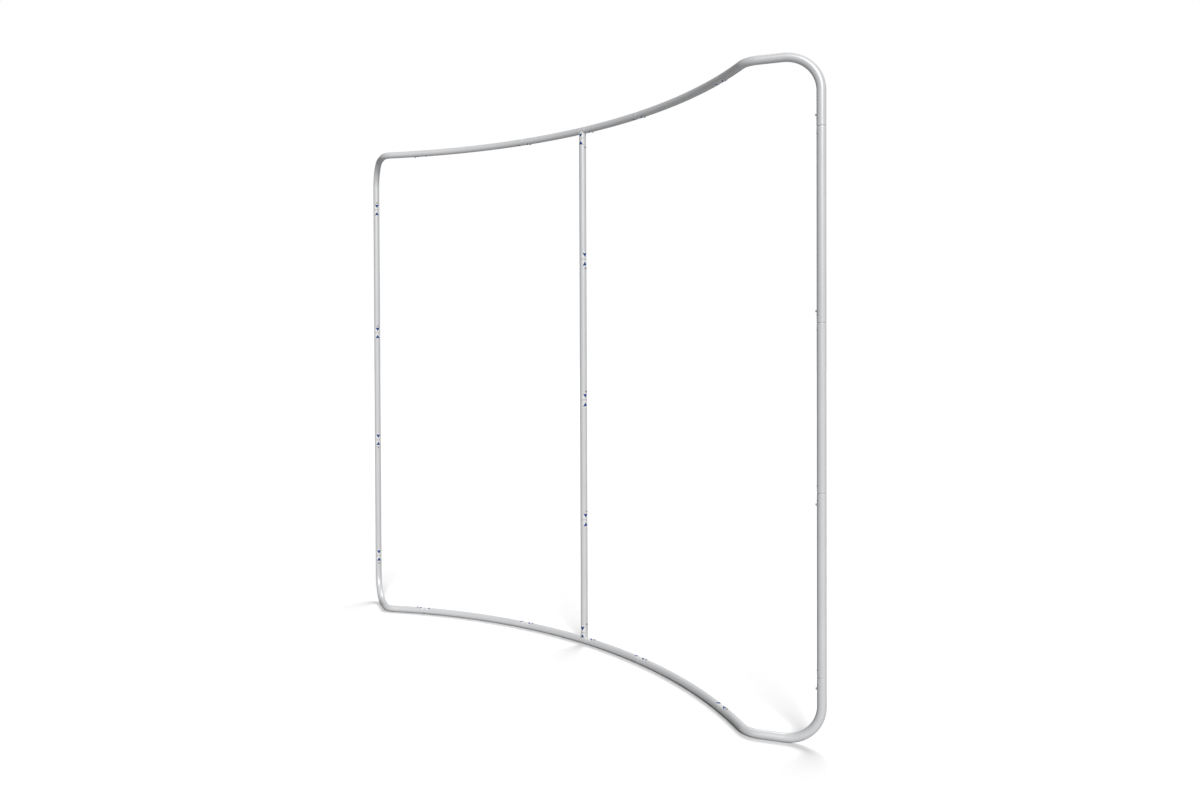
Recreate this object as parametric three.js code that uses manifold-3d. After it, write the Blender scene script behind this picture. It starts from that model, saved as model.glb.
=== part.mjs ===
// Bare tube frame of a free-standing curved display backwall, in millimetres, +Z up.
// The origin is on the floor, in the middle of the frame's width and depth.
// -Y is the hollow side of the curve, where a visitor stands; -X is on the visitor's left.
// Aluminium tubes plug into each other: one end is drawn down to a spigot, the other is left open,
// and a sprung button in the spigot snaps out through a hole in the open end.

import * as THREE from 'three';
import { mergeVertices } from 'three/addons/utils/BufferGeometryUtils.js';
import Module from 'manifold-3d';

const wasm = await Module();
wasm.setup();

// ---- Driving dimensions -------------------------------------------------------------------

const frameHeight = 2286; // floor to the top of the top rail
const tubeDiameter = 30;
const tubeWall = 1.5;

// Rails, along the tube's middle
const arcRadius = 1710; // plan curve
const innerArc = 336; // centre post to an inner seam
const outerArc = 549; // inner seam to outer seam
const cornerArc = 160; // outer seam to the reverse bend
const stubToMiddleSeam = 7; // the middle seam lies to the right of the centre post's stub
const flareRadius = 65; // reverse bend in plan near each end of a rail
const flareAngle = THREE.MathUtils.degToRad(61);
const flareStraight = 80; // between the reverse bend and the corner's bend
const cornerRadius = 120; // bend from rail to post

// Side posts, whose middle tube takes what is left
const topStraight = 117; // corner's bend to the first seam
const upperTube = 640;
const lowerTube = 606;
const bottomStraight = 95; // last seam to the corner's bend

// Centre post, whose second tube takes what is left
const stubReach = 21; // from the rail's side to the first seam, and to the last one
const firstTube = 532;
const thirdTube = 530;
const fourthTube = 501;

// Plug joints
const spigotWall = 1.5;
const spigotClearance = 0.3; // between spigot and bore, on each side
const spigotPastButton = 22;
const socketSpare = 4; // straight bore past the spigot's tip
const neckLength = 6; // taper inside the tube behind a spigot
const seamGap = 0.3; // open end to shoulder
const weldGap = 0.3; // stub's mouth to rail

// Snap buttons
const buttonSetback = 38; // seam to button
const buttonDiameter = 8.4;
const buttonRise = 4.5; // above the outer tube
const buttonDomeHeight = 2.6;
const buttonHoleClearance = 0.3; // on each side
const springWidth = 6;
const springThickness = 0.8;
const springClearance = 0.3; // edges of the spring's leaf to the spigot's bore
const springTail = 9; // leaf past the button, towards the spigot's mouth
const springReach = 42; // leaf from the button back to its bend
const springBendRadius = 8;

// Facets
const facetsPerQuarter = 3; // of a tube; a flat facet faces down, so that the bottom rail rests on it
const railStep = 130; // longest chord along the plan curve
const flareSteps = 4;
const cornerSteps = 6;
const buttonSides = 10;
const springBendSteps = 3;

// ---- Sizes that follow --------------------------------------------------------------------

const tubeSides = 4 * facetsPerQuarter;
const tubeRadius = tubeDiameter / 2;
const boreRadius = tubeRadius - tubeWall;
const spigotRadius = boreRadius - spigotClearance;
const spigotBore = spigotRadius - spigotWall;
const spigotLength = buttonSetback + spigotPastButton;
const socketLength = spigotLength + socketSpare;

const outerSeam = innerArc + outerArc; // seams along a rail, measured from the centre post
const middleSeam = tubeRadius + stubToMiddleSeam;
const arcHalfLength = outerSeam + cornerArc;
const arcHalfAngle = arcHalfLength / arcRadius;
const flareLength = flareRadius * flareAngle;
const flareEnd = arcHalfLength + flareLength;
const cornerStart = flareEnd + flareStraight;
const curveDepth = (arcRadius + flareRadius) * (1 - Math.cos(arcHalfAngle));

const bottomZ = tubeRadius; // bottom rail's middle
const topZ = frameHeight - tubeRadius; // top rail's middle
const stubHeight = tubeRadius + stubReach;
// Seams from the top down
const postSeams = [
  topZ - cornerRadius - topStraight,
  topZ - cornerRadius - topStraight - upperTube,
  bottomZ + cornerRadius + bottomStraight + lowerTube,
  bottomZ + cornerRadius + bottomStraight,
];
const centreSeams = [
  topZ - stubHeight,
  topZ - stubHeight - firstTube,
  bottomZ + stubHeight + fourthTube + thirdTube,
  bottomZ + stubHeight + fourthTube,
  bottomZ + stubHeight,
];

const up = new THREE.Vector3(0, 0, 1);
const down = up.clone().negate();

// ---- Materials ----------------------------------------------------------------------------

const aluminium = () => new THREE.MeshStandardMaterial({ color: 0xc9cccd, roughness: 0.35, metalness: 0.9 });
const springSteel = () => new THREE.MeshStandardMaterial({ color: 0x8f9294, roughness: 0.3, metalness: 1 });

// ---- Solids -------------------------------------------------------------------------------

// three.js geometry to a manifold solid and back
function toSolid(geometry) {
  geometry.deleteAttribute('normal');
  geometry.deleteAttribute('uv');
  const merged = mergeVertices(geometry);
  const corners = merged.index.array;
  const triangles = [];
  for (let i = 0; i < corners.length; i += 3) {
    const [a, b, c] = corners.slice(i, i + 3);
    if (a !== b && b !== c && c !== a) triangles.push(a, b, c);
  }
  return new wasm.Manifold(new wasm.Mesh({
    numProp: 3,
    vertProperties: new Float32Array(merged.attributes.position.array),
    triVerts: new Uint32Array(triangles),
  }));
}

function toGeometry(solid) {
  const mesh = solid.getMesh();
  const geometry = new THREE.BufferGeometry();
  geometry.setAttribute('position', new THREE.BufferAttribute(mesh.vertProperties, 3));
  geometry.setIndex(new THREE.BufferAttribute(mesh.triVerts, 1));
  geometry.computeVertexNormals();
  return geometry;
}

// A station is a point on a tube's middle line, with the tube's direction and a vector square to it.
function station(point, direction, side) {
  return { point, direction, side };
}

function turnedRound({ point, direction, side }) {
  return station(point, direction.clone().negate(), side.clone().negate());
}

function shifted({ point, direction, side }, along) {
  return station(point.clone().addScaledVector(direction, along), direction, side);
}

// Corners of one cross-section, whose flats lie at the given radius
function sectionCorners({ point, direction, side }, radius) {
  const over = new THREE.Vector3().crossVectors(direction, side);
  const cornerDistance = radius / Math.cos(Math.PI / tubeSides);
  return Array.from({ length: tubeSides }, (_, i) => {
    const angle = ((i + 0.5) / tubeSides) * 2 * Math.PI;
    return point.clone()
      .addScaledVector(side, cornerDistance * Math.cos(angle))
      .addScaledVector(over, cornerDistance * Math.sin(angle));
  });
}

// Half-turns each section whose side vector points away from the one before it
function aligned(sections) {
  let last = sections[0][0].side;
  return sections.map(([place, radius]) => {
    const side = place.side.dot(last) < 0 ? place.side.clone().negate() : place.side;
    last = side;
    return [station(place.point, place.direction, side), radius];
  });
}

// Closed hollow tube from its outer sections and its inner sections, both in running order
function hollowTube(outer, inner) {
  const rings = [...aligned(outer), ...aligned(inner).toReversed()]
    .map(([place, radius]) => sectionCorners(place, radius));
  const faces = [];
  rings.forEach((_, ring) => {
    const next = (ring + 1) % rings.length;
    for (let i = 0; i < tubeSides; i += 1) {
      const j = (i + 1) % tubeSides;
      const [a, b] = [ring * tubeSides + i, ring * tubeSides + j];
      const [c, d] = [next * tubeSides + i, next * tubeSides + j];
      faces.push(a, b, d, a, d, c);
    }
  });
  const geometry = new THREE.BufferGeometry();
  const positions = rings.flat().flatMap((corner) => corner.toArray());
  geometry.setAttribute('position', new THREE.Float32BufferAttribute(positions, 3));
  geometry.setIndex(faces);
  return geometry;
}

// ---- Middle line of a rail ----------------------------------------------------------------

// Plan point and heading at a distance from the centre post, to the right of it
function rightPlan(distance) {
  const alongArc = Math.min(distance, arcHalfLength) / arcRadius;
  const alongFlare = THREE.MathUtils.clamp(distance - arcHalfLength, 0, flareLength) / flareRadius;
  const alongStraight = Math.max(distance - flareEnd, 0);
  const heading = alongArc - alongFlare; // turn towards the visitor
  const x = arcRadius * Math.sin(alongArc)
    + flareRadius * (Math.sin(alongArc) - Math.sin(heading))
    + alongStraight * Math.cos(heading);
  const forward = arcRadius * (1 - Math.cos(alongArc))
    + flareRadius * (Math.cos(heading) - Math.cos(alongArc))
    + alongStraight * Math.sin(heading);
  return { x, y: curveDepth / 2 - forward, heading };
}

// Station on a rail, looking right; a negative distance is left of the centre post.
function railStation(distance, z) {
  const { x, y, heading } = rightPlan(Math.abs(distance));
  const hand = Math.sign(distance) || 1;
  const point = new THREE.Vector3(hand * x, y, z);
  const direction = new THREE.Vector3(Math.cos(heading), -hand * Math.sin(heading), 0);
  return station(point, direction, new THREE.Vector3().crossVectors(up, direction));
}

// Stations between two distances along a rail, in equal steps of at most railStep.
// The centre post's stub stands on a station, where the facets keep to the curve.
function railStations(start, end, z) {
  if (start < 0 && end > 0) {
    return [...railStations(start, 0, z), railStation(0, z), ...railStations(0, end, z)];
  }
  const count = Math.ceil((end - start) / railStep);
  return Array.from({ length: count - 1 }, (_, i) => (
    railStation(start + ((end - start) * (i + 1)) / count, z)));
}

// ---- Joints between tubes -----------------------------------------------------------------

// A joint's place is the shoulder where two tubes meet, looking along the spigot into the open end.
// Its way is 1 where the spigot looks right or down, and -1 where it looks left or up.

// A rail's joint lies on a straight chord, from the seam to the socket's inner end.
function railJoint(name, distance, way, z, buttonWay) {
  const shoulder = railStation(distance, z);
  const socketEnd = railStation(distance + way * socketLength, z);
  const direction = socketEnd.point.clone().sub(shoulder.point).normalize();
  const side = new THREE.Vector3().crossVectors(up, direction);
  return { name, way, place: station(shoulder.point, direction, side), buttonWay, distance };
}

function postJoint(name, point, way, side, buttonWay) {
  return { name, way, place: station(point, new THREE.Vector3(0, 0, -way), side), buttonWay };
}

// Sections of a tube that starts with its spigot, from the tip to the neck
function spigotStart({ place }) {
  const shoulder = turnedRound(place);
  const tip = shifted(shoulder, -spigotLength);
  return {
    outer: [[tip, spigotRadius], [shoulder, spigotRadius], [shoulder, tubeRadius]],
    inner: [[tip, spigotBore], [shoulder, spigotBore], [shifted(shoulder, neckLength), boreRadius]],
  };
}

// Sections of a tube that starts with its open end, from the mouth to the socket's inner end
function socketStart({ place }) {
  const places = [shifted(place, seamGap), shifted(place, socketLength)];
  return {
    outer: places.map((where) => [where, tubeRadius]),
    inner: places.map((where) => [where, boreRadius]),
  };
}

// The same sections where the tube ends
function asEnd({ outer, inner }) {
  const flip = ([place, radius]) => [turnedRound(place), radius];
  return { outer: outer.toReversed().map(flip), inner: inner.toReversed().map(flip) };
}

function tubeAlong(start, middle, end) {
  const last = asEnd(end);
  return hollowTube(
    [...start.outer, ...middle.map((place) => [place, tubeRadius]), ...last.outer],
    [...start.inner, ...middle.map((place) => [place, boreRadius]), ...last.inner],
  );
}

// Frame at a joint's button: +Z is the button's way, and +X runs along the spigot.
function buttonMatrix({ place, buttonWay }) {
  const across = new THREE.Vector3().crossVectors(buttonWay, place.direction);
  const middle = shifted(place, buttonSetback).point;
  return new THREE.Matrix4().makeBasis(place.direction, across, buttonWay).setPosition(middle);
}

// Drill for the button, through one side of the spigot and of the open end round it
function buttonDrill(joint) {
  const radius = buttonDiameter / 2 + buttonHoleClearance;
  const drill = new THREE.CylinderGeometry(radius, radius, tubeDiameter, buttonSides);
  drill.rotateX(Math.PI / 2);
  drill.translate(0, 0, tubeRadius);
  drill.applyMatrix4(buttonMatrix(joint));
  return toSolid(drill);
}

// ---- Pieces -------------------------------------------------------------------------------

const displayFrame = new THREE.Group();

function addPiece(name, geometry, material) {
  const mesh = new THREE.Mesh(geometry, material);
  mesh.name = name;
  displayFrame.add(mesh);
  return mesh;
}

// Adds a tube, drilled for the buttons of the joints at its ends
function addTube(name, solid, joints) {
  const drilled = joints.reduce((rest, joint) => rest.subtract(buttonDrill(joint)), solid);
  addPiece(name, toGeometry(drilled), aluminium());
}

// Adds the tubes between each joint and the next, with the stations that each one passes
function addTubeRun(names, joints, middles) {
  names.forEach((name, i) => {
    const [first, last] = [joints[i], joints[i + 1]];
    const start = first.way < 0 ? spigotStart(first) : socketStart(first);
    const end = last.way > 0 ? spigotStart(last) : socketStart(last);
    addTube(name, toSolid(tubeAlong(start, middles[i], end)), [first, last]);
  });
}

// Round button with a domed head, from its spring's leaf to above the outer tube
function buttonHead(leafMiddle) {
  const radius = buttonDiameter / 2;
  const domeTop = tubeRadius + buttonRise;
  const domeFoot = domeTop - buttonDomeHeight;
  const halfRound = Math.SQRT1_2; // share of the radius and of the height, halfway round the dome
  const head = new THREE.LatheGeometry([
    new THREE.Vector2(0, leafMiddle),
    new THREE.Vector2(radius, leafMiddle),
    new THREE.Vector2(radius, domeFoot),
    new THREE.Vector2(radius * halfRound, domeFoot + buttonDomeHeight * halfRound),
    new THREE.Vector2(0, domeTop),
  ], buttonSides);
  head.rotateX(Math.PI / 2);
  return head;
}

// Leg of the spring clip under the button, with the start of the clip's bend
function springLeaf(leafTop) {
  const bendMiddle = leafTop - springBendRadius;
  const bendPoint = (radius, step) => {
    const angle = (step / springBendSteps) * (Math.PI / 2);
    return [-springReach - radius * Math.sin(angle), bendMiddle + radius * Math.cos(angle)];
  };
  const profile = new THREE.Shape();
  profile.moveTo(springTail, leafTop - springThickness);
  profile.lineTo(springTail, leafTop);
  for (let step = 0; step <= springBendSteps; step += 1) {
    profile.lineTo(...bendPoint(springBendRadius, step));
  }
  for (let step = springBendSteps; step >= 0; step -= 1) {
    profile.lineTo(...bendPoint(springBendRadius - springThickness, step));
  }
  const leaf = new THREE.ExtrudeGeometry(profile, { depth: springWidth, bevelEnabled: false });
  leaf.rotateX(Math.PI / 2);
  leaf.translate(0, springWidth / 2, 0);
  return leaf;
}

// Button on the leg of its clip, whose edges lie against the spigot's bore
function addSnapButton(joint) {
  const leafTop = Math.sqrt(spigotBore ** 2 - (springWidth / 2) ** 2) - springClearance;
  const leaf = toSolid(springLeaf(leafTop));
  const button = leaf.add(toSolid(buttonHead(leafTop - springThickness / 2)));
  addPiece(`snap_button_${joint.name}`, toGeometry(button), springSteel()).applyMatrix4(buttonMatrix(joint));
}

// ---- Rails --------------------------------------------------------------------------------

// Four tubes between the corner tubes, with their buttons towards the frame's window
function addRail(level, z, buttonWay) {
  const seams = [[-outerSeam, -1], [-innerArc, 1], [middleSeam, 1], [innerArc, 1], [outerSeam, 1]];
  const joints = seams.map(([distance, way], i) => (
    railJoint(`${level}_${i + 1}`, distance, way, z, buttonWay)));
  const names = [1, 2, 3, 4].map((number) => `${level}_rail_${number}`);
  const middles = names.map((_, i) => {
    const start = joints[i].distance + (joints[i].way > 0 ? socketLength : 0);
    return railStations(start, joints[i + 1].distance, z);
  });
  addTubeRun(names, joints, middles);
  joints.forEach(addSnapButton);
  return joints;
}

// ---- Corners ------------------------------------------------------------------------------

// Station on a rail, looking away from the centre post on the given hand
function outwardStation(hand, distance, z) {
  const place = railStation(hand * distance, z);
  return hand > 0 ? place : turnedRound(place);
}

// Bend in the upright plane, from a rail's end to its post; way is -1 down and 1 up
function cornerStations(start, way) {
  return Array.from({ length: cornerSteps + 1 }, (_, step) => {
    const angle = (step / cornerSteps) * (Math.PI / 2);
    const point = start.point.clone()
      .addScaledVector(start.direction, cornerRadius * Math.sin(angle))
      .addScaledVector(up, way * cornerRadius * (1 - Math.cos(angle)));
    const direction = start.direction.clone().multiplyScalar(Math.cos(angle))
      .addScaledVector(up, way * Math.sin(angle));
    return station(point, direction, start.side);
  });
}

// One tube with both bends, open at both ends
function addCorner(name, hand, z, way, onRail, onPost) {
  const flare = Array.from({ length: flareSteps + 1 }, (_, step) => (
    outwardStation(hand, arcHalfLength + (flareLength * step) / flareSteps, z)));
  const bend = cornerStations(outwardStation(hand, cornerStart, z), way);
  const tube = tubeAlong(socketStart(onRail), [...flare, ...bend], socketStart(onPost));
  addTube(name, toSolid(tube), [onRail, onPost]);
}

// ---- Posts --------------------------------------------------------------------------------

// Joints of a post from the top down, at the seams' heights
function postJoints(name, foot, seams, ways, side, buttonWay) {
  return seams.map((z, i) => (
    postJoint(`${name}_${i + 1}`, new THREE.Vector3(foot.x, foot.y, z), ways[i], side, buttonWay)));
}

// Three tubes between two corner tubes, with their buttons towards the frame's middle
function addSidePost(name, hand) {
  const end = outwardStation(hand, cornerStart, 0);
  const foot = end.point.clone().addScaledVector(end.direction, cornerRadius);
  const ways = [-1, -1, 1, 1];
  const joints = postJoints(name, foot, postSeams, ways, end.side, end.direction.clone().negate());
  addTubeRun([`${name}_post_upper`, `${name}_post_middle`, `${name}_post_lower`], joints, [[], [], []]);
  joints.forEach(addSnapButton);
  return joints;
}

// Short tube with a spigot, coped to the rail that it is welded to
function addStub(name, joint, railZ) {
  const root = shifted(joint.place, -stubHeight);
  const atRail = { outer: [[root, tubeRadius]], inner: [[root, boreRadius]] };
  const tube = toSolid(tubeAlong(atRail, [], spigotStart(joint)));
  addTube(name, tube.subtract(railEnvelope(railZ)), [joint]);
}

// Space that the rail's second tube takes up to the middle seam, with the weld's gap round it
function railEnvelope(z) {
  const start = -innerArc + socketLength;
  const places = [railStation(start, z), ...railStations(start, middleSeam, z), railStation(middleSeam, z)];
  const around = places.map((place) => [place, tubeRadius + weldGap]);
  const middle = [places[0], places.at(-1)].map((place) => [place, 0]);
  return toSolid(hollowTube(around, middle));
}

// Four tubes between the two stubs
function addCentrePost() {
  const foot = railStation(0, 0).point;
  const ways = [1, 1, -1, -1, -1];
  const side = new THREE.Vector3(0, 1, 0);
  const joints = postJoints('centre', foot, centreSeams, ways, side, new THREE.Vector3(1, 0, 0));
  addTubeRun([1, 2, 3, 4].map((number) => `centre_post_${number}`), joints, [[], [], [], []]);
  addStub('centre_stub_top', joints[0], topZ);
  addStub('centre_stub_bottom', joints[4], bottomZ);
  joints.forEach(addSnapButton);
}

// ---- The frame ----------------------------------------------------------------------------

const topJoints = addRail('top', topZ, down);
const bottomJoints = addRail('bottom', bottomZ, up);
const leftJoints = addSidePost('left', -1);
const rightJoints = addSidePost('right', 1);
addCorner('top_corner_left', -1, topZ, -1, topJoints[0], leftJoints[0]);
addCorner('top_corner_right', 1, topZ, -1, topJoints[4], rightJoints[0]);
addCorner('bottom_corner_left', -1, bottomZ, 1, bottomJoints[0], leftJoints[3]);
addCorner('bottom_corner_right', 1, bottomZ, 1, bottomJoints[4], rightJoints[3]);
addCentrePost();

export default displayFrame;
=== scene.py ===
"""Curved display backwall: a bare frame of round aluminium tubes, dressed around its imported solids.

The scene is in metres, in the row frame: the origin is on the floor in the middle of the width
and depth, +Z is up, and -Y is the hollow side of the curve, where a visitor stands. The sizes
below are in millimetres, and become metres where a mesh is made or placed.
"""
import math

import bpy
from mathutils import Matrix, Vector


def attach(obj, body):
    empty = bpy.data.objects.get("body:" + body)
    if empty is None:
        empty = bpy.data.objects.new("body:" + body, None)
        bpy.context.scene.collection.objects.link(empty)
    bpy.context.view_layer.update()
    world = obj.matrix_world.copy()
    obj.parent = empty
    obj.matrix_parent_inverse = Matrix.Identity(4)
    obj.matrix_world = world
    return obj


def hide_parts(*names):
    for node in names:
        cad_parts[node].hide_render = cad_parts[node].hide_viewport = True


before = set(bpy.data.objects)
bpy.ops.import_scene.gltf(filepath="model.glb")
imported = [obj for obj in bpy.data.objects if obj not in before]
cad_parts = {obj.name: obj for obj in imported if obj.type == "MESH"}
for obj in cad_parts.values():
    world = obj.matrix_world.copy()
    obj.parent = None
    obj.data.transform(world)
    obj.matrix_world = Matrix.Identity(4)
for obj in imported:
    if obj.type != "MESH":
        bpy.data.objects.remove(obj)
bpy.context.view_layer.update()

MM = 0.001
UP = Vector((0, 0, 1))
DOWN = -UP
RIGHT = Vector((1, 0, 0))
BACK = Vector((0, 1, 0))

# ---- The frame's sizes, as in the solids ------------------------------------------------------

FRAME_HEIGHT = 2286
TUBE_RADIUS = 15
BORE_RADIUS = 13.5

# Rails, along the tube's middle
ARC_RADIUS = 1710  # plan curve
INNER_ARC = 336  # centre post to an inner seam
OUTER_ARC = 549  # inner seam to outer seam
CORNER_ARC = 160  # outer seam to the reverse bend
MIDDLE_SEAM = 22  # centre post to the middle seam, on its right
FLARE_RADIUS = 65  # reverse bend in plan near each end of a rail
FLARE_ANGLE = math.radians(61)
FLARE_STRAIGHT = 80  # between the reverse bend and the corner's bend
CORNER_RADIUS = 120  # bend from rail to post

# Side posts, whose middle tube takes what is left
TOP_STRAIGHT = 117  # corner's bend to the first seam
UPPER_TUBE = 640
LOWER_TUBE = 606
BOTTOM_STRAIGHT = 95  # last seam to the corner's bend

# Centre post, whose second tube takes what is left
STUB_HEIGHT = 36  # from the rail's middle to the first seam, and to the last one
FIRST_TUBE = 532
THIRD_TUBE = 530
FOURTH_TUBE = 501

# Plug joints
SPIGOT_RADIUS = 13.2
SPIGOT_BORE = 11.7
SPIGOT_LENGTH = 60
SOCKET_LENGTH = 64  # straight bore that takes the spigot
NECK_LENGTH = 6  # taper inside the tube behind a spigot
SEAM_GAP = 0.3  # open end to shoulder

# Snap buttons
BUTTON_SETBACK = 38  # seam to button
BUTTON_RADIUS = 4.2
BUTTON_RISE = 4.5  # above the outer tube
BUTTON_DOME = 2.6  # height of its rounded top
BUTTON_CLEARANCE = 0.3  # to its hole, all round
SPRING_WIDTH = 6
SPRING_THICKNESS = 0.8
SPRING_CLEARANCE = 0.3  # to the spigot's bore
SPRING_TAIL = 9  # leaf past the button, towards the spigot's mouth
SPRING_REACH = 42  # leaf from the button back to its bend
SPRING_BEND = 8  # outer radius

# ---- Sizes that follow ------------------------------------------------------------------------

OUTER_SEAM = INNER_ARC + OUTER_ARC
ARC_HALF = OUTER_SEAM + CORNER_ARC
ARC_HALF_ANGLE = ARC_HALF / ARC_RADIUS
FLARE_LENGTH = FLARE_RADIUS * FLARE_ANGLE
FLARE_END = ARC_HALF + FLARE_LENGTH
CORNER_START = FLARE_END + FLARE_STRAIGHT
CURVE_DEPTH = (ARC_RADIUS + FLARE_RADIUS) * (1 - math.cos(ARC_HALF_ANGLE))
BOTTOM_Z = TUBE_RADIUS
TOP_Z = FRAME_HEIGHT - TUBE_RADIUS
HOLE_RADIUS = BUTTON_RADIUS + BUTTON_CLEARANCE
POST_SEAMS = (
    TOP_Z - CORNER_RADIUS - TOP_STRAIGHT,
    TOP_Z - CORNER_RADIUS - TOP_STRAIGHT - UPPER_TUBE,
    BOTTOM_Z + CORNER_RADIUS + BOTTOM_STRAIGHT + LOWER_TUBE,
    BOTTOM_Z + CORNER_RADIUS + BOTTOM_STRAIGHT,
)
CENTRE_SEAMS = (
    TOP_Z - STUB_HEIGHT,
    TOP_Z - STUB_HEIGHT - FIRST_TUBE,
    BOTTOM_Z + STUB_HEIGHT + FOURTH_TUBE + THIRD_TUBE,
    BOTTOM_Z + STUB_HEIGHT + FOURTH_TUBE,
    BOTTOM_Z + STUB_HEIGHT,
)

# ---- Detail that is finer than the solids' ----------------------------------------------------

ROUND_SIDES = 56  # of a tube
CURVE_ANGLE = 0.045  # between rings of a bend, in radians
LEAST_STEP, MOST_STEP = 4, 24  # between the same rings
SHOULDER_ROUND, SHOULDER_LENGTH = 1.7, 2.8  # rounded edge where the spigot is drawn down
MOUTH_ROUND, MOUTH_LENGTH = 1.4, 2.2  # rounded outer edge of an open end
MOUTH_CHAMFER, MOUTH_CHAMFER_LENGTH = 0.2, 0.3  # inner edge of an open end
EDGE_STEPS = 4  # in each rounded edge
TIP_CHAMFER = 1  # of a spigot
SUPPORT = 1.5  # rings beside an end, so that its shading doesn't run along the tube

BUTTON_SIDES = 36
DOME_STEPS = 9  # in the rounded top of a button
LEAF_STEPS = 10  # in the bend of a spring
LEAF_POINT = 1  # length, and narrowing on each side, of the leaf's end
BUTTON_ROOT = 0.4  # of the button, inside the leaf

COPE_CLEARANCE = 0.05  # stub to rail
WELD_RADIUS = 1.6
WELD_OUT, WELD_UP = 0.35, 0.4  # bead's middle to the stub's side and the rail's surface
WELD_ROWS, WELD_SIDES = 96, 10
WELD_RIPPLES, WELD_RIPPLE_DEPTH = 24, 0.12

SHARP = 35  # degrees between two faces, above which their edge isn't smoothed
SHARP_PRINT, SHARP_BUTTON, SHARP_WELD = 30, 40, 60

# Printed arrow labels, one on each side of a seam
LABEL_START = 5  # seam to the label
LABEL_LENGTH = 27
LABEL_WIDTH = 26
LABEL_CORNER = 2.5
LABEL_CORNER_STOPS = (0, 0.3, 0.8, 1.5, LABEL_CORNER)  # rows in a corner, from the end
LABEL_HALF = 6  # faces from the label's middle to its side
LABEL_FOOT, LABEL_LIFT = 0.01, 0.10  # above the tube
ARROW_TIP = 10  # seam to the arrow's tip
ARROW_LENGTH = 19
ARROW_NOTCH = 2.5
ARROW_WIDTH = 23
ARROW_BLUNTNESS = 0.02  # width of its tip, as a share of the arrow's
ARROW_SINK = 0.02  # of the arrow's foot into the label
ARROW_LIFT = 0.18
ARROW_ROWS, ARROW_HALF = 10, 8  # faces along the arrow, and from its middle to its side
FULL_LABEL = 0, 1  # shift away from the seam, and size as a share
STUB_LABEL = -2, 0.8
STUB_LABEL_WAY = Vector((0.10, -0.995, 0))  # the ways that the centre post's labels face
POST_LABEL_WAY = Vector((0.965, -0.26, 0))


# ---- The middle lines of the tubes ------------------------------------------------------------

class Station:
    """A point on a tube's middle line, with the tube's direction and a vector square to it."""

    def __init__(self, point, direction, side):
        self.point = point
        self.direction = direction.normalized()
        self.side = side.normalized()

    def turned(self):
        return Station(self.point, -self.direction, -self.side)

    def shifted(self, along):
        return Station(self.point + self.direction * along, self.direction, self.side)


def rail_station(distance, z):
    """Station on a rail, looking right. A negative distance is left of the centre post."""
    hand = -1 if distance < 0 else 1
    away = abs(distance)
    on_arc = min(away, ARC_HALF) / ARC_RADIUS
    on_flare = min(max(away - ARC_HALF, 0), FLARE_LENGTH) / FLARE_RADIUS
    on_straight = max(away - FLARE_END, 0)
    heading = on_arc - on_flare
    x = (ARC_RADIUS * math.sin(on_arc)
         + FLARE_RADIUS * (math.sin(on_arc) - math.sin(heading))
         + on_straight * math.cos(heading))
    forward = (ARC_RADIUS * (1 - math.cos(on_arc))
               + FLARE_RADIUS * (math.cos(heading) - math.cos(on_arc))
               + on_straight * math.sin(heading))
    direction = Vector((math.cos(heading), -hand * math.sin(heading), 0))
    point = Vector((hand * x, CURVE_DEPTH / 2 - forward, z))
    return Station(point, direction, UP.cross(direction))


def outward_station(hand, distance, z):
    """Station on a rail, looking away from the centre post; hand is -1 left and 1 right."""
    place = rail_station(hand * distance, z)
    return place if hand > 0 else place.turned()


def corner_path(hand, z, way):
    """Middle line of a corner tube, from its rail's seam outwards; way is -1 down and 1 up."""
    bend_start = CORNER_START - OUTER_SEAM
    bend_length = CORNER_RADIUS * math.pi / 2
    start = outward_station(hand, CORNER_START, z)

    def place(along):
        if along <= bend_start:
            return outward_station(hand, OUTER_SEAM + along, z)
        angle = min((along - bend_start) / CORNER_RADIUS, math.pi / 2)
        point = (start.point + start.direction * (CORNER_RADIUS * math.sin(angle))
                 + UP * (way * CORNER_RADIUS * (1 - math.cos(angle))))
        direction = start.direction * math.cos(angle) + UP * (way * math.sin(angle))
        bent = Station(point, direction, start.side)
        return bent.shifted(max(along - bend_start - bend_length, 0))

    return place, bend_start, bend_start + bend_length


def post_path(foot, z, side):
    """Middle line of an upright tube, from height z down."""
    return lambda along: Station(Vector((foot.x, foot.y, z - along)), DOWN, side)


# ---- Joints -----------------------------------------------------------------------------------

class Joint:
    """Where two tubes meet. place looks along the spigot into the open end, and way is 1 where
    that is right or down."""

    def __init__(self, name, way, place, button_way):
        self.name, self.way, self.place, self.button_way = name, way, place, button_way

    def button_matrix(self):
        middle = self.place.shifted(BUTTON_SETBACK).point
        across = self.button_way.cross(self.place.direction)
        rotation = Matrix((self.place.direction, across, self.button_way)).transposed()
        return Matrix.Translation(middle * MM) @ rotation.to_4x4()


def rail_joint(name, distance, way, z, button_way):
    """Joint on a rail. The spigot is straight, and ends on the middle of the open end's curve."""
    shoulder = rail_station(distance, z)
    end = rail_station(distance + way * SOCKET_LENGTH, z)
    direction = (end.point - shoulder.point).normalized()
    return Joint(name, way, Station(shoulder.point, direction, UP.cross(direction)), button_way)


def post_joint(name, foot, z, way, side, button_way):
    place = Station(Vector((foot.x, foot.y, z)), UP * -way, side)
    return Joint(name, way, place, button_way)


# ---- Mesh helpers -----------------------------------------------------------------------------

UV_NAME = "along_and_round"


def smooth(mesh, sharp):
    mesh.polygons.foreach_set("use_smooth", [True] * len(mesh.polygons))
    mesh.set_sharp_from_angle(angle=math.radians(sharp))


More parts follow.
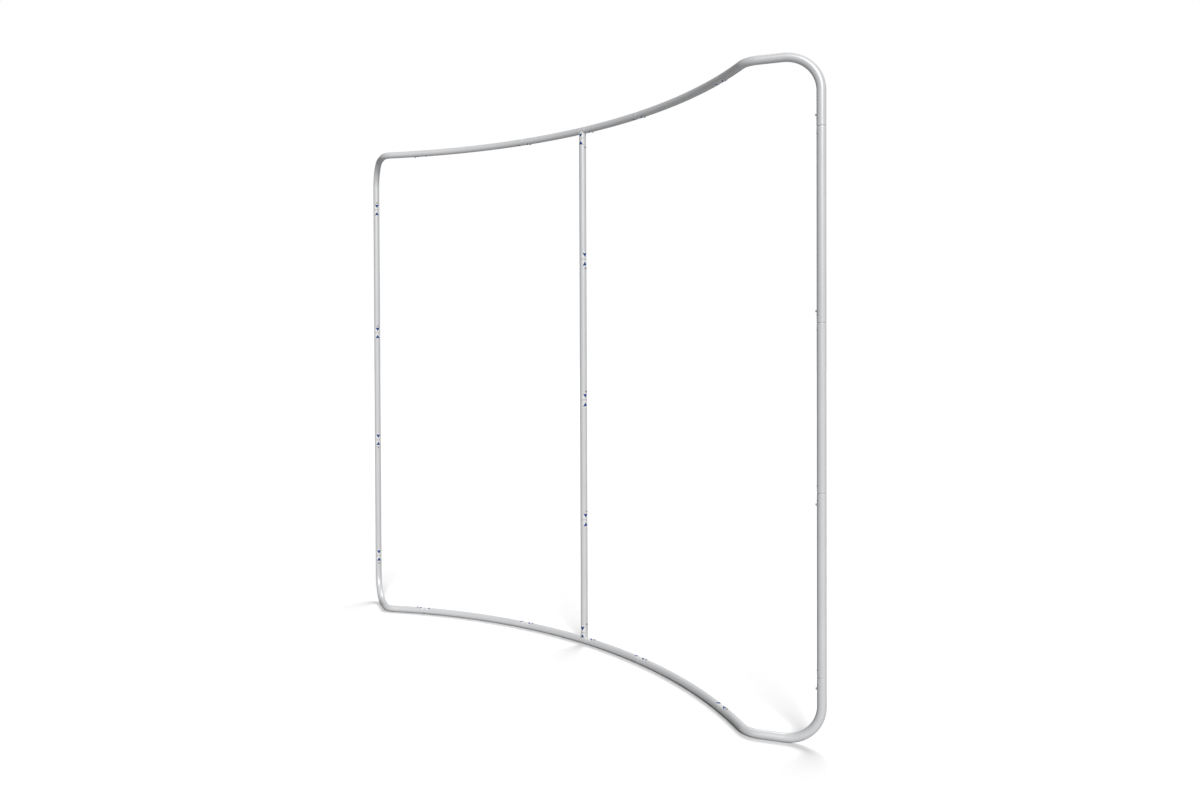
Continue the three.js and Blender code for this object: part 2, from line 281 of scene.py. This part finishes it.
def make_object(name, vertices, faces, uvs=None, sharp=SHARP):
    """Smooth-shaded object from points in millimetres; uvs holds one pair per face corner."""
    mesh = bpy.data.meshes.new(name)
    mesh.from_pydata([Vector(v) * MM for v in vertices], [], faces)
    if uvs:
        layer = mesh.uv_layers.new(name=UV_NAME)
        layer.data.foreach_set("uv", [value for pair in uvs for value in pair])
    smooth(mesh, sharp)
    mesh.validate()
    thing = bpy.data.objects.new(name, mesh)
    bpy.context.scene.collection.objects.link(thing)
    return thing


def circle(radius, z, sides):
    return [(radius * math.cos(angle), radius * math.sin(angle), z)
            for angle in (2 * math.pi * i / sides for i in range(sides))]


def band(low, high, count):
    """Faces between two loops of count vertices, whose first ones are low and high."""
    return [(low + i, low + (i + 1) % count, high + (i + 1) % count, high + i)
            for i in range(count)]


def ring_corners(place, radius):
    over = place.direction.cross(place.side)
    return [place.point + place.side * x + over * y for x, y, _ in circle(radius, 0, ROUND_SIDES)]


def quarter_round(start, end):
    """Points between start and end, (distance, radius), of a quarter ellipse that leaves start
    straight outwards."""
    (x0, y0), (x1, y1) = start, end
    angles = (math.pi / 2 * step / EDGE_STEPS for step in range(1, EDGE_STEPS))
    return [(x0 + (x1 - x0) * (1 - math.cos(angle)), y0 + (y1 - y0) * math.sin(angle))
            for angle in angles]


def spigot_end():
    """Outer and inner profile, as distance from the shoulder and radius, of an end with a
    spigot."""
    corner = 0, TUBE_RADIUS - SHOULDER_ROUND
    full = SHOULDER_LENGTH, TUBE_RADIUS
    outer = [(-SPIGOT_LENGTH, SPIGOT_RADIUS - TIP_CHAMFER / 2),
             (-SPIGOT_LENGTH + TIP_CHAMFER, SPIGOT_RADIUS),
             (0, SPIGOT_RADIUS),
             corner, *quarter_round(corner, full), full]
    inner = [(-SPIGOT_LENGTH, SPIGOT_BORE), (0, SPIGOT_BORE), (NECK_LENGTH, BORE_RADIUS)]
    return outer, inner


def open_end():
    """The same of an end that takes a spigot, as distance from the seam."""
    corner = SEAM_GAP, TUBE_RADIUS - MOUTH_ROUND
    full = SEAM_GAP + MOUTH_LENGTH, TUBE_RADIUS
    outer = [corner, *quarter_round(corner, full), full]
    inner = [(SEAM_GAP, BORE_RADIUS + MOUTH_CHAMFER),
             (SEAM_GAP + MOUTH_CHAMFER_LENGTH, BORE_RADIUS)]
    return outer, inner


def curved_stops(start, end, bends):
    """Distances from start to end, in small steps inside each bend (first, last, radius)."""
    stops = [start, end]
    for first, last, radius in bends:
        first, last = max(first, start), min(last, end)
        if last <= first:
            continue
        step = min(max(radius * CURVE_ANGLE, LEAST_STEP), MOST_STEP)
        count = math.ceil((last - first) / step)
        stops += [first + (last - first) * i / count for i in range(count + 1)]
    return sorted(set(stops))


def tube_mesh(name, path, length, start, end, bends=(), shift=0):
    """Closed hollow tube: start and end are profiles measured from the tube's two seams, and
    shift moves its surface pattern along."""
    lines = []
    for side, radius in ((0, TUBE_RADIUS), (1, BORE_RADIUS)):
        first = start[side][-1][0] + SUPPORT
        last = length - end[side][-1][0] - SUPPORT
        lines.append(start[side] + [(d, radius) for d in curved_stops(first, last, bends)]
                     + [(length - d, r) for d, r in reversed(end[side])])
    profile = lines[0] + lines[1][::-1]
    vertices = [corner for d, r in profile for corner in ring_corners(path(d), r)]
    faces, uvs = [], []
    for ring, (distance, _) in enumerate(profile):
        following = (ring + 1) % len(profile)
        here, there = ((d + shift) * MM for d in (distance, profile[following][0]))
        faces += band(ring * ROUND_SIDES, following * ROUND_SIDES, ROUND_SIDES)
        for i in range(ROUND_SIDES):
            left, right = (2 * math.pi * TUBE_RADIUS * k / ROUND_SIDES * MM for k in (i, i + 1))
            uvs += [(here, left), (here, right), (there, right), (there, left)]
    return make_object(name, vertices, faces, uvs)


def cylinder_cutter(matrix, radius, low, high):
    n = BUTTON_SIDES
    faces = [tuple(reversed(range(n))), tuple(range(n, 2 * n)), *band(0, n, n)]
    cutter = make_object("cutter", circle(radius, low, n) + circle(radius, high, n), faces)
    cutter.matrix_world = matrix
    return cutter


def hole_cutter(joint):
    return cylinder_cutter(joint.button_matrix(), HOLE_RADIUS, 0, 2 * TUBE_RADIUS)


def cut(thing, cutters):
    """Takes the cutters out of thing, for good."""
    for cutter in cutters:
        modifier = thing.modifiers.new("cut", "BOOLEAN")
        modifier.operation = "DIFFERENCE"
        modifier.solver = "EXACT"
        modifier.object = cutter
    bpy.context.view_layer.update()
    evaluated = thing.evaluated_get(bpy.context.evaluated_depsgraph_get())
    mesh = bpy.data.meshes.new_from_object(evaluated)
    thing.modifiers.clear()
    thing.data = mesh
    smooth(mesh, SHARP)
    for cutter in cutters:
        bpy.data.objects.remove(cutter)


# ---- Materials --------------------------------------------------------------------------------

def new_material(name):
    material = bpy.data.materials.new(name)
    material.use_nodes = True
    nodes, links = material.node_tree.nodes, material.node_tree.links
    return material, nodes, links, nodes["Principled BSDF"]


def add_ramp(nodes, links, factor, *stops):
    """Colour between stops, each a position and a colour."""
    ramp = nodes.new("ShaderNodeValToRGB")
    for element, (position, colour) in zip(ramp.color_ramp.elements, stops):
        element.position, element.color = position, (*colour, 1)
    links.new(factor, ramp.inputs["Fac"])
    return ramp.outputs["Color"]


def add_range(nodes, links, value, low, high):
    node = nodes.new("ShaderNodeMapRange")
    node.inputs["To Min"].default_value = low
    node.inputs["To Max"].default_value = high
    links.new(value, node.inputs["Value"])
    return node.outputs["Result"]


def add_noise(nodes, links, vector, scale, detail, stretch=(1, 1, 1)):
    mapping = nodes.new("ShaderNodeMapping")
    mapping.inputs["Scale"].default_value = stretch
    links.new(vector, mapping.inputs["Vector"])
    noise = nodes.new("ShaderNodeTexNoise")
    noise.inputs["Scale"].default_value = scale
    noise.inputs["Detail"].default_value = detail
    links.new(mapping.outputs["Vector"], noise.inputs["Vector"])
    return noise.outputs["Fac"]


def aluminium_material():
    """Satin anodised aluminium, with faint drawing lines along the tube."""
    material, nodes, links, shader = new_material("satin_anodised_aluminium")
    uv = nodes.new("ShaderNodeUVMap")
    uv.uv_map = UV_NAME
    lines = add_noise(nodes, links, uv.outputs["UV"], scale=1, detail=3, stretch=(9, 2600, 1))
    cloud = add_noise(nodes, links, uv.outputs["UV"], scale=1, detail=4, stretch=(7, 30, 1))
    both = nodes.new("ShaderNodeMix")
    both.inputs["Factor"].default_value = 0.45
    links.new(lines, both.inputs["A"])
    links.new(cloud, both.inputs["B"])
    mixed = both.outputs["Result"]
    colour = add_ramp(nodes, links, mixed,
                      (0.25, (0.52, 0.525, 0.535)), (0.75, (0.59, 0.595, 0.605)))
    roughness = add_range(nodes, links, mixed, low=0.30, high=0.42)
    bump = nodes.new("ShaderNodeBump")
    bump.inputs["Strength"].default_value = 0.05
    bump.inputs["Distance"].default_value = 0.0002
    links.new(lines, bump.inputs["Height"])
    links.new(colour, shader.inputs["Base Color"])
    links.new(roughness, shader.inputs["Roughness"])
    links.new(bump.outputs["Normal"], shader.inputs["Normal"])
    shader.inputs["Metallic"].default_value = 0.16
    shader.inputs["Specular IOR Level"].default_value = 0.0
    shader.inputs["Specular Tint"].default_value = (0.0, 0.0, 0.0, 1)
    return material


def steel_material():
    """Spring steel with fine scratches."""
    material, nodes, links, shader = new_material("spring_steel")
    place = nodes.new("ShaderNodeTexCoord").outputs["Object"]
    scratches = add_noise(nodes, links, place, scale=900, detail=4, stretch=(1, 6, 1))
    colour = add_ramp(nodes, links, scratches,
                      (0.3, (0.22, 0.215, 0.21)), (0.7, (0.34, 0.335, 0.33)))
    roughness = add_range(nodes, links, scratches, low=0.2, high=0.4)
    links.new(colour, shader.inputs["Base Color"])
    links.new(roughness, shader.inputs["Roughness"])
    shader.inputs["Metallic"].default_value = 1
    shader.inputs["Specular Tint"].default_value = (0.6, 0.6, 0.6, 1)
    return material


def weld_material():
    """Dull, slightly stained aluminium of a weld bead."""
    material, nodes, links, shader = new_material("weld_bead")
    place = nodes.new("ShaderNodeTexCoord").outputs["Object"]
    stain = add_noise(nodes, links, place, scale=260, detail=5)
    colour = add_ramp(nodes, links, stain,
                      (0.3, (0.40, 0.40, 0.40)), (0.7, (0.62, 0.62, 0.61)))
    roughness = add_range(nodes, links, stain, low=0.4, high=0.6)
    links.new(colour, shader.inputs["Base Color"])
    links.new(roughness, shader.inputs["Roughness"])
    shader.inputs["Metallic"].default_value = 1
    return material


def print_material(name, dark, light, roughness):
    """Printed vinyl whose ink varies a little."""
    variation = 0.08
    material, nodes, links, shader = new_material(name)
    place = nodes.new("ShaderNodeTexCoord").outputs["Object"]
    mottle = add_noise(nodes, links, place, scale=500, detail=3)
    colour = add_ramp(nodes, links, mottle, (0.3, dark), (0.7, light))
    gloss = add_range(nodes, links, mottle, roughness - variation, roughness + variation)
    links.new(colour, shader.inputs["Base Color"])
    links.new(gloss, shader.inputs["Roughness"])
    shader.inputs["Specular IOR Level"].default_value = 0.2
    return material


aluminium = aluminium_material()
steel = steel_material()
weld = weld_material()
white_vinyl = print_material("white_vinyl", dark=(0.62, 0.62, 0.61), light=(0.70, 0.70, 0.69),
                             roughness=0.45)
blue_ink = print_material("blue_ink", dark=(0.001, 0.028, 0.14), light=(0.002, 0.045, 0.21),
                          roughness=0.5)


# ---- Tubes ------------------------------------------------------------------------------------

PATTERN_SHIFT = 1700  # between the surface patterns of two tubes
STUB_PATTERN_SHIFT = 900
made_tubes = 0


def finish_piece(thing, material, body):
    thing.data.materials.clear()
    thing.data.materials.append(material)
    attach(thing, body)


def add_tube(node, path, length, start, end, joints, bends=()):
    """Round tube in place of its solid, drilled for the buttons at its ends."""
    global made_tubes
    made_tubes += 1
    tube = tube_mesh(f"tube_{node}", path, length, start, end, bends,
                     shift=PATTERN_SHIFT * made_tubes)
    cut(tube, [hole_cutter(joint) for joint in joints])
    finish_piece(tube, aluminium, "frame")
    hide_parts(node)


def end_of(joint, at_start):
    """Profile of a tube's end at a joint: a spigot where the joint looks out of the tube."""
    looks_out = joint.way < 0 if at_start else joint.way > 0
    return spigot_end() if looks_out else open_end()


def add_run(nodes, joints, paths, lengths, bends):
    """Tubes between each two joints that follow each other."""
    for i, node in enumerate(nodes):
        first, last = joints[i], joints[i + 1]
        add_tube(node, paths[i], lengths[i], end_of(first, True), end_of(last, False),
                 [first, last], bends)


# ---- Snap buttons -----------------------------------------------------------------------------

def lathe(profile, sides):
    """Vertices and faces of a turned shape; the profile runs from axis to axis, as (radius, z)."""
    vertices = [(0, 0, profile[0][1])]
    for radius, z in profile[1:-1]:
        vertices += circle(radius, z, sides)
    vertices.append((0, 0, profile[-1][1]))
    rings = len(profile) - 2
    faces = [(0, 1 + (i + 1) % sides, 1 + i) for i in range(sides)]
    for ring in range(rings - 1):
        faces += band(1 + ring * sides, 1 + (ring + 1) * sides, sides)
    top, last = len(vertices) - 1, 1 + (rings - 1) * sides
    faces += [(last + i, last + (i + 1) % sides, top) for i in range(sides)]
    return vertices, faces


def leaf_shape(top):
    """Leg of the spring clip with the start of its bend: a strip of even thickness."""
    middle = top - SPRING_BEND
    tail, low = SPRING_TAIL - LEAF_POINT, top - SPRING_THICKNESS
    outer = [(SPRING_TAIL, top), (tail, top)]
    inner = [(SPRING_TAIL, low), (tail, low)]
    for i in range(LEAF_STEPS + 1):
        angle = math.pi / 2 * i / LEAF_STEPS
        for line, radius in ((outer, SPRING_BEND), (inner, SPRING_BEND - SPRING_THICKNESS)):
            line.append((-SPRING_REACH - radius * math.sin(angle),
                         middle + radius * math.cos(angle)))
    vertices, faces = [], []
    for i, (a, b) in enumerate(zip(outer, inner)):
        half = SPRING_WIDTH / 2 - (LEAF_POINT if i == 0 else 0)
        vertices += [(a[0], -half, a[1]), (a[0], half, a[1]),
                     (b[0], half, b[1]), (b[0], -half, b[1])]
    for i in range(len(outer) - 1):
        faces += band(4 * i, 4 * (i + 1), 4)
    last = 4 * (len(outer) - 1)
    faces += [(3, 2, 1, 0), (last, last + 1, last + 2, last + 3)]
    return vertices, faces


def add_button(joint):
    leaf_top = math.sqrt(SPIGOT_BORE ** 2 - (SPRING_WIDTH / 2) ** 2) - SPRING_CLEARANCE
    root = leaf_top - BUTTON_ROOT
    top = TUBE_RADIUS + BUTTON_RISE
    foot = top - BUTTON_DOME
    profile = [(0, root), (BUTTON_RADIUS, root), (BUTTON_RADIUS, foot)]
    for i in range(1, DOME_STEPS):
        angle = math.pi / 2 * i / DOME_STEPS
        profile.append((BUTTON_RADIUS * math.cos(angle), foot + BUTTON_DOME * math.sin(angle)))
    profile.append((0, top))
    vertices, faces = lathe(profile, BUTTON_SIDES)
    leaf_vertices, leaf_faces = leaf_shape(leaf_top)
    count = len(vertices)
    vertices += leaf_vertices
    faces += [tuple(count + index for index in face) for face in leaf_faces]
    button = make_object(f"button_{joint.name}", vertices, faces, sharp=SHARP_BUTTON)
    button.matrix_world = joint.button_matrix()
    finish_piece(button, steel, f"button_{joint.name}")
    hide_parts(f"snap_button_{joint.name}")


# ---- Printed arrow labels ---------------------------------------------------------------------

def wrapped(path, way, seam, middle_way):
    """Maps (distance from the seam, distance round the tube, lift) to a point on the tube."""
    def place(along, around, lift):
        here = path(seam + way * along)
        out = (middle_way - here.direction * middle_way.dot(here.direction)).normalized()
        across = here.direction.cross(out) * way
        angle = around / TUBE_RADIUS
        outwards = out * math.cos(angle) + across * math.sin(angle)
        return here.point + outwards * (TUBE_RADIUS + lift)
    return place


def thin_solid(name, rows, place, low, high):
    """Closed thin plate on the tube from rows of (along, around) of equal length."""
    width = len(rows[0])
    vertices = [place(a, w, lift) for lift in (high, low) for row in rows for a, w in row]
    below = len(rows) * width
    faces = []
    for r in range(len(rows) - 1):
        for c in range(width - 1):
            first, following = r * width + c, (r + 1) * width + c
            quad = (first, first + 1, following + 1, following)
            faces += [quad, tuple(below + k for k in reversed(quad))]
    rim = list(range(width))
    rim += [r * width + width - 1 for r in range(1, len(rows))]
    rim += [(len(rows) - 1) * width + c for c in range(width - 2, -1, -1)]
    rim += [r * width for r in range(len(rows) - 2, 0, -1)]
    for a, b in zip(rim, rim[1:] + rim[:1]):
        faces.append((b, a, below + a, below + b))
    return make_object(name, vertices, faces, sharp=SHARP_PRINT)


def label_rows():
    """Rectangle with rounded corners."""
    rows = []
    half = LABEL_LENGTH / 2
    stops = LABEL_CORNER_STOPS
    for a in [-half + s for s in stops] + [0] + [half - s for s in reversed(stops)]:
        cut_in = max(0, abs(a) - (half - LABEL_CORNER))
        corner = math.sqrt(max(LABEL_CORNER ** 2 - cut_in ** 2, 0))
        side = LABEL_WIDTH / 2 - LABEL_CORNER + corner
        rows.append([(LABEL_START + half + a, side * k / LABEL_HALF)
                     for k in range(-LABEL_HALF, LABEL_HALF + 1)])
    return rows


def arrow_rows():
    """Notched arrowhead that points at the seam."""
    rows = []
    for i in range(ARROW_ROWS + 1):
        share = max(i / ARROW_ROWS, ARROW_BLUNTNESS)
        row = []
        for k in range(-ARROW_HALF, ARROW_HALF + 1):
            aside = k / ARROW_HALF
            back = ARROW_LENGTH - ARROW_NOTCH * (1 - abs(aside))
            row.append((ARROW_TIP + share * back, share * ARROW_WIDTH / 2 * aside))
        rows.append(row)
    return rows


def fitted(rows, shift, size):
    return [[(shift + size * along, size * around) for along, around in row] for row in rows]


def add_labels(joint, path, seam, middle_way, fits=(FULL_LABEL, FULL_LABEL)):
    """Labels before and after a joint; a fit is a shift and a size, and None leaves one out."""
    for word, way, fit in zip("ab", (-1, 1), fits):
        if fit is None:
            continue
        place = wrapped(path, way, seam, middle_way)
        label = thin_solid(f"label_{joint.name}_{word}", fitted(label_rows(), *fit), place,
                           LABEL_FOOT, LABEL_LIFT)
        finish_piece(label, white_vinyl, "frame")
        arrow = thin_solid(f"arrow_{joint.name}_{word}", fitted(arrow_rows(), *fit), place,
                           LABEL_LIFT - ARROW_SINK, ARROW_LIFT)
        finish_piece(arrow, blue_ink, "frame")


# ---- Rails and corners ------------------------------------------------------------------------

# Each seam's distance from the centre post, and 1 where its spigot points right
RAIL_SEAMS = ((-OUTER_SEAM, -1), (-INNER_ARC, 1), (MIDDLE_SEAM, 1), (INNER_ARC, 1),
              (OUTER_SEAM, 1))


def add_rail(level, z, button_way):
    joints = [rail_joint(f"{level}_{i}", distance, way, z, button_way)
              for i, (distance, way) in enumerate(RAIL_SEAMS, 1)]
    nodes = [f"{level}_rail_{i}" for i in (1, 2, 3, 4)]
    seams = [distance for distance, _ in RAIL_SEAMS]
    lengths = [b - a for a, b in zip(seams, seams[1:])]
    paths = [lambda d, start=start: rail_station(start + d, z) for start in seams[:-1]]
    add_run(nodes, joints, paths, lengths, [(0, OUTER_ARC, ARC_RADIUS)])
    for joint, seam in zip(joints, seams):
        add_button(joint)
        # The stub's foot takes the place of the middle joint's left label.
        left_label = None if seam == MIDDLE_SEAM else FULL_LABEL
        add_labels(joint, lambda d: rail_station(d, z), seam, button_way,
                   (left_label, FULL_LABEL))
    return joints


def add_corner(node, hand, z, way, rail_end, post_end):
    path, bend_start, bend_end = corner_path(hand, z, way)
    straight = TOP_STRAIGHT if way < 0 else BOTTOM_STRAIGHT
    flare_start = ARC_HALF - OUTER_SEAM
    bends = [(0, flare_start, ARC_RADIUS),
             (flare_start, FLARE_END - OUTER_SEAM, FLARE_RADIUS),
             (bend_start, bend_end, CORNER_RADIUS)]
    add_tube(node, path, bend_end + straight, open_end(), open_end(), [rail_end, post_end], bends)


# ---- Posts ------------------------------------------------------------------------------------

def add_post(name, nodes, foot, seams, ways, side, button_way, label_ways, label_fits):
    joints = [post_joint(f"{name}_{i}", foot, z, way, side, button_way)
              for i, (z, way) in enumerate(zip(seams, ways), 1)]
    lengths = [a - b for a, b in zip(seams, seams[1:])]
    add_run(nodes, joints, [post_path(foot, z, side) for z in seams[:-1]], lengths, [])
    for joint, z, label_way, fits in zip(joints, seams, label_ways, label_fits):
        add_button(joint)
        add_labels(joint, post_path(foot, z, side), 0, label_way, fits)
    return joints


def add_side_post(name, hand):
    end = outward_station(hand, CORNER_START, 0)
    foot = end.point + end.direction * CORNER_RADIUS
    inward = -end.direction
    nodes = [f"{name}_post_{part}" for part in ("upper", "middle", "lower")]
    return add_post(name, nodes, foot, POST_SEAMS, (-1, -1, 1, 1), end.side, inward,
                    [inward] * 4, [(FULL_LABEL, FULL_LABEL)] * 4)


def add_stub(node, joint, rail_z, way):
    """Short tube on a rail's side, coped to it; way is -1 where it hangs and 1 where it stands."""
    foot = joint.place.point
    root = [(0, TUBE_RADIUS)], [(0, BORE_RADIUS)]

    def path(distance):
        return Station(Vector((foot.x, foot.y, rail_z + way * distance)), UP * way, BACK)

    stub = tube_mesh(f"tube_{node}", path, STUB_HEIGHT, root, spigot_end(),
                     shift=STUB_PATTERN_SHIFT)
    rail = rail_station(0, rail_z)
    turn = Matrix((rail.side, UP, rail.direction)).transposed().to_4x4()
    envelope = cylinder_cutter(Matrix.Translation(rail.point * MM) @ turn,
                               TUBE_RADIUS + COPE_CLEARANCE, -2 * TUBE_RADIUS, 2 * TUBE_RADIUS)
    cut(stub, [envelope, hole_cutter(joint)])
    finish_piece(stub, aluminium, "frame")
    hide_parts(node)
    add_weld(f"weld_{node}", foot, rail_z, way)


def cope_height(around):
    """How far the rail's surface stands above its middle, at an angle round the stub from +X."""
    across = TUBE_RADIUS * math.sin(around)
    return math.sqrt(max(TUBE_RADIUS ** 2 - across ** 2, 0))


def add_weld(name, foot, rail_z, way):
    """Bead of overlapping ripples along the line where the stub meets the rail."""
    vertices, faces = [], []
    radius = TUBE_RADIUS + WELD_OUT
    for i in range(WELD_ROWS):
        angle = 2 * math.pi * i / WELD_ROWS
        middle = Vector((foot.x + radius * math.cos(angle), foot.y + radius * math.sin(angle),
                         rail_z + way * (cope_height(angle) + WELD_UP)))
        out = Vector((math.cos(angle), math.sin(angle), 0))
        size = WELD_RADIUS * (1 + WELD_RIPPLE_DEPTH * math.cos(angle * WELD_RIPPLES))
        for x, z, _ in circle(size, 0, WELD_SIDES):
            vertices.append(middle + out * x + UP * z)
    for i in range(WELD_ROWS):
        here, there = i * WELD_SIDES, (i + 1) % WELD_ROWS * WELD_SIDES
        for k in range(WELD_SIDES):
            m = (k + 1) % WELD_SIDES
            faces.append((here + k, there + k, there + m, here + m))
    bead = make_object(name, vertices, faces, sharp=SHARP_WELD)
    finish_piece(bead, weld, "frame")


def add_centre_post():
    foot = rail_station(0, 0).point
    nodes = [f"centre_post_{i}" for i in (1, 2, 3, 4)]
    label_ways = [STUB_LABEL_WAY, *[POST_LABEL_WAY] * 3, STUB_LABEL_WAY]
    fits = [(STUB_LABEL, FULL_LABEL), *[(FULL_LABEL, FULL_LABEL)] * 3, (FULL_LABEL, STUB_LABEL)]
    joints = add_post("centre", nodes, foot, CENTRE_SEAMS, (1, 1, -1, -1, -1), BACK,
                      RIGHT, label_ways, fits)
    add_stub("centre_stub_top", joints[0], TOP_Z, -1)
    add_stub("centre_stub_bottom", joints[4], BOTTOM_Z, 1)


top_joints = add_rail("top", TOP_Z, DOWN)
bottom_joints = add_rail("bottom", BOTTOM_Z, UP)
left_joints = add_side_post("left", -1)
right_joints = add_side_post("right", 1)
add_corner("top_corner_left", -1, TOP_Z, -1, top_joints[0], left_joints[0])
add_corner("top_corner_right", 1, TOP_Z, -1, top_joints[4], right_joints[0])
add_corner("bottom_corner_left", -1, BOTTOM_Z, 1, bottom_joints[0], left_joints[3])
add_corner("bottom_corner_right", 1, BOTTOM_Z, 1, bottom_joints[4], right_joints[3])
add_centre_post()


# ---- Floor, light and camera ------------------------------------------------------------------

FLOOR_HALF = 40000  # from its middle to each side
FLOOR_DROP = 0.2  # below the frame
FLOOR_AS_LIGHT = (0.32, 0.32, 0.32, 1)
WORLD_AS_LIGHT = 0.06
# Sockets of the Mix node for colours
MIX_A, MIX_B, MIX_RESULT = 6, 7, 2


def add_seen(nodes, links):
    """1 for rays from the camera and for those that metal or glass shows, 0 for other light."""
    path = nodes.new("ShaderNodeLightPath")
    seen = path.outputs["Is Camera Ray"]
    for name in ("Is Glossy Ray", "Is Transmission Ray"):
        either = nodes.new("ShaderNodeMath")
        either.operation = "MAXIMUM"
        links.new(seen, either.inputs[0])
        links.new(path.outputs[name], either.inputs[1])
        seen = either.outputs[0]
    return seen


def add_floor():
    """Floor that is pale where it is seen, and throws less light back on the frame."""
    corners = [(x * FLOOR_HALF, y * FLOOR_HALF, 0) for x, y in ((-1, -1), (1, -1), (1, 1), (-1, 1))]
    floor = make_object("floor", corners, [(0, 1, 2, 3)])
    floor.location.z = -FLOOR_DROP * MM
    material, nodes, links, shader = new_material("pale_floor")
    place = nodes.new("ShaderNodeTexCoord").outputs["Object"]
    tone = add_noise(nodes, links, place, scale=2, detail=2)
    pale = add_ramp(nodes, links, tone, (0.3, (0.88, 0.88, 0.88)), (0.7, (0.90, 0.90, 0.90)))
    colour = nodes.new("ShaderNodeMix")
    colour.data_type = "RGBA"
    colour.inputs[MIX_A].default_value = FLOOR_AS_LIGHT
    links.new(add_seen(nodes, links), colour.inputs["Factor"])
    links.new(pale, colour.inputs[MIX_B])
    links.new(colour.outputs[MIX_RESULT], shader.inputs["Base Color"])
    shader.inputs["Roughness"].default_value = 0.9
    shader.inputs["Specular IOR Level"].default_value = 0.1
    floor.data.materials.append(material)


def add_world():
    """White where it is seen, directly or in metal, and less as light."""
    world = bpy.data.worlds.new("studio")
    bpy.context.scene.world = world
    world.use_nodes = True
    nodes, links = world.node_tree.nodes, world.node_tree.links
    background = nodes["Background"]
    background.inputs["Color"].default_value = (1, 1, 1, 1)
    strength = add_range(nodes, links, add_seen(nodes, links), low=WORLD_AS_LIGHT, high=1)
    links.new(strength, background.inputs["Strength"])


def add_sun(name, way, strength, spread):
    lamp = bpy.data.lights.new(name, "SUN")
    lamp.energy = strength
    lamp.angle = math.radians(spread)
    thing = bpy.data.objects.new(name, lamp)
    bpy.context.scene.collection.objects.link(thing)
    thing.rotation_euler = Vector(way).to_track_quat("-Z", "Y").to_euler()


def add_camera():
    """Camera fitted to the photograph: its place is on the hollow side, to the right."""
    width, height = 1200, 800  # of the picture, in pixels
    focal, centre_x, centre_y = 900.4, 503.1, 356.0  # in its pixels too
    yaw, pitch, roll = math.radians(46.17), math.radians(0.635), math.radians(-0.271)
    # The camera's place from the centre post's foot, as shares of the height between the rails
    unit = (TOP_Z - BOTTOM_Z) * MM
    across, away, eye = 0.1574 * unit, 1.7662 * unit, 0.5796 * unit
    sensor = 36
    camera_data = bpy.data.cameras.new("camera")
    camera = bpy.data.objects.new("camera", camera_data)
    bpy.context.scene.collection.objects.link(camera)
    bpy.context.scene.camera = camera
    camera_data.sensor_width = sensor
    camera_data.lens = focal / width * sensor
    camera_data.shift_x = (width / 2 - centre_x) / width
    camera_data.shift_y = (centre_y - height / 2) / width
    camera_data.clip_start, camera_data.clip_end = 0.05, 200
    right = Vector((math.cos(yaw), math.sin(yaw), 0))
    ahead = Vector((-math.sin(yaw), math.cos(yaw), 0))
    look = ahead * math.cos(pitch) - UP * math.sin(pitch)
    top = UP * math.cos(pitch) + ahead * math.sin(pitch)
    rolled_right = right * math.cos(roll) + top * math.sin(roll)
    rolled_top = top * math.cos(roll) - right * math.sin(roll)
    rotation = Matrix((rolled_right, rolled_top, -look)).transposed().to_4x4()
    place = Vector((0, CURVE_DEPTH / 2 * MM, 0)) - right * across - ahead * away
    place.z = BOTTOM_Z * MM + eye
    camera.matrix_world = Matrix.Translation(place) @ rotation


add_floor()
add_world()
add_sun("key_light", way=(-0.66, 0.57, -0.50), strength=3.4, spread=20)
add_sun("back_light", way=(0.15, -0.75, -0.9), strength=2.4, spread=35)
add_camera()
bpy.context.scene.view_settings.view_transform = "Standard"
